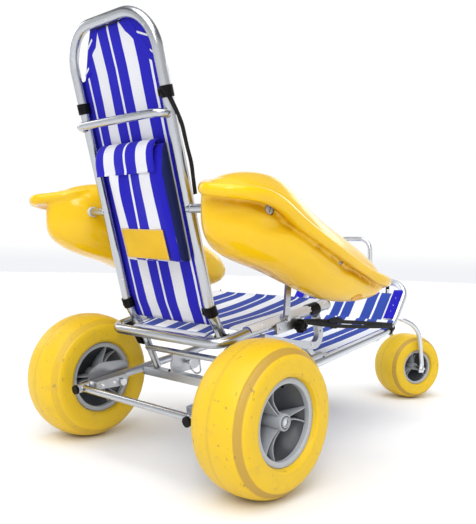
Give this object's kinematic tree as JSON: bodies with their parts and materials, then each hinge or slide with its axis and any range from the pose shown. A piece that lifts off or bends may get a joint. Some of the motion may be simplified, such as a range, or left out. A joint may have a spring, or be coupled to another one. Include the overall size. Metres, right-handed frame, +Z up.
{
  "type": "floating beach cart",
  "caption": "Reclining striped fabric lounge seat on an aluminium tube frame with balloon wheels, a swivelling front caster and float armrests, for sand and shallow water.",
  "frame": {"origin": "on the ground, under the middle of the cart's box at rest", "axes": "+Z up; the cart faces -Y, so its long side is along Y; +X is the seated user's left"},
  "size_m": [1, 1.8559, 1.3043],
  "materials": {
    "aluminium": "satin anodised tube",
    "steel": "bright stainless",
    "yellow_tyre": "slightly matte yellow balloon tyre",
    "yellow_float": "glossy rotomoulded yellow",
    "grey_hub": "moulded grey plastic",
    "black_plastic": "moulded black plastic",
    "webbing": "woven black webbing",
    "fabric": "royal blue and white striped woven fabric"
  },
  "bodies": {
    "chassis": {"rail_left": "aluminium", "rail_right": "aluminium", "foot_bar": "aluminium", "rear_cross_tube": "aluminium", "upper_cross_tube": "aluminium", "lower_cross_channel": "aluminium", "stay_left": "aluminium", "stay_right": "aluminium", "axle_plate_left": "aluminium", "axle_plate_right": "aluminium", "axle_block_left": "aluminium", "axle_block_right": "aluminium", "seat_loop": "aluminium", "seat_front_bar": "aluminium", "hook_left": "aluminium", "hook_right": "aluminium", "lock_plate": "aluminium", "stem_housing": "aluminium", "caster_arm": "aluminium", "pull_handle": "aluminium", "strut_bracket_left": "aluminium", "strut_bracket_right": "aluminium", "axle_left": "steel", "axle_right": "steel", "lock_chain": "steel", "rail_cap_left": "black_plastic", "rail_cap_right": "black_plastic", "pivot_block_left": "black_plastic", "pivot_block_right": "black_plastic", "hook_cap_left": "black_plastic", "hook_cap_right": "black_plastic", "strap_clamp": "black_plastic", "leg_strap": "webbing", "seat_panel": "fabric", "leg_panel": "fabric"},
    "wheel_left": {"left_tyre": "yellow_tyre", "left_hub": "grey_hub"},
    "wheel_right": {"right_tyre": "yellow_tyre", "right_hub": "grey_hub"},
    "caster": {"caster_fork": "aluminium", "front_axle": "steel"},
    "front_wheel": {"front_tyre": "yellow_tyre", "front_hub": "grey_hub"},
    "backrest": {"back_frame": "aluminium", "push_handle": "aluminium", "clip_upper_left": "black_plastic", "clip_upper_right": "black_plastic", "clip_lower_left": "black_plastic", "clip_lower_right": "black_plastic", "back_panel": "fabric", "back_pocket": "fabric"},
    "armrest_left": {"float_left": "yellow_float", "float_pin_left": "aluminium"},
    "strut_left": {"strut_left": "aluminium"},
    "knob_left": {"knob_left": "black_plastic"},
    "armrest_right": {"float_right": "yellow_float", "float_pin_right": "aluminium"},
    "strut_right": {"strut_right": "aluminium"},
    "knob_right": {"knob_right": "black_plastic"},
    "lock_pin": {"lock_pin": "steel"}
  },
  "joints": [
    {"name": "wheel_left_spin", "type": "hinge", "parent": "chassis", "child": "wheel_left", "pos_m": [0.399, 0.6626, 0.21], "axis": [1, 0, 0], "continuous": true},
    {"name": "wheel_right_spin", "type": "hinge", "parent": "chassis", "child": "wheel_right", "pos_m": [-0.399, 0.6626, 0.21], "axis": [1, 0, 0], "continuous": true},
    {"name": "caster_swivel", "type": "hinge", "parent": "chassis", "child": "caster", "pos_m": [0, -0.6674, 0.372], "axis": [0, 0, 1], "continuous": true},
    {"name": "front_wheel_spin", "type": "hinge", "parent": "caster", "child": "front_wheel", "pos_m": [-0.04592, -0.77827, 0.144], "axis": [0.9239, -0.3827, 0], "continuous": true},
    {"name": "backrest_recline", "type": "hinge", "parent": "chassis", "child": "backrest", "pos_m": [0, 0.6076, 0.395], "axis": [-1, 0, 0], "range_deg": [0, 30]},
    {"name": "armrest_left_pivot", "type": "hinge", "parent": "backrest", "child": "armrest_left", "pos_m": [0.37, 0.7566, 0.765], "axis": [-1, 0, 0], "range_deg": [-19.5, 0.5]},
    {"name": "strut_left_pivot", "type": "hinge", "parent": "chassis", "child": "strut_left", "pos_m": [0.279, 0.4196, 0.449], "axis": [-1, 0, 0], "range_deg": [-1, 51.5]},
    {"name": "knob_left_turn", "type": "hinge", "parent": "chassis", "child": "knob_left", "pos_m": [0.2753, 0.3606, 0.4235], "axis": [1, 0, 0], "range_deg": [0, 360]},
    {"name": "armrest_right_pivot", "type": "hinge", "parent": "backrest", "child": "armrest_right", "pos_m": [-0.37, 0.7566, 0.765], "axis": [-1, 0, 0], "range_deg": [-19.5, 0.5]},
    {"name": "strut_right_pivot", "type": "hinge", "parent": "chassis", "child": "strut_right", "pos_m": [-0.279, 0.4196, 0.449], "axis": [-1, 0, 0], "range_deg": [-1, 51.5]},
    {"name": "knob_right_turn", "type": "hinge", "parent": "chassis", "child": "knob_right", "pos_m": [-0.2753, 0.3606, 0.4235], "axis": [-1, 0, 0], "range_deg": [0, 360]},
    {"name": "lock_pin_pull", "type": "slide", "parent": "chassis", "child": "lock_pin", "axis": [-1, 0, 0], "range_m": [0, 0.03]}
  ],
  "couplings": [
    {"joint": "armrest_left_pivot", "follows": "backrest_recline", "ratio": -0.6366},
    {"joint": "strut_left_pivot", "follows": "backrest_recline", "ratio": 1.699},
    {"joint": "armrest_right_pivot", "follows": "backrest_recline", "ratio": -0.6366},
    {"joint": "strut_right_pivot", "follows": "backrest_recline", "ratio": 1.699}
  ]
}
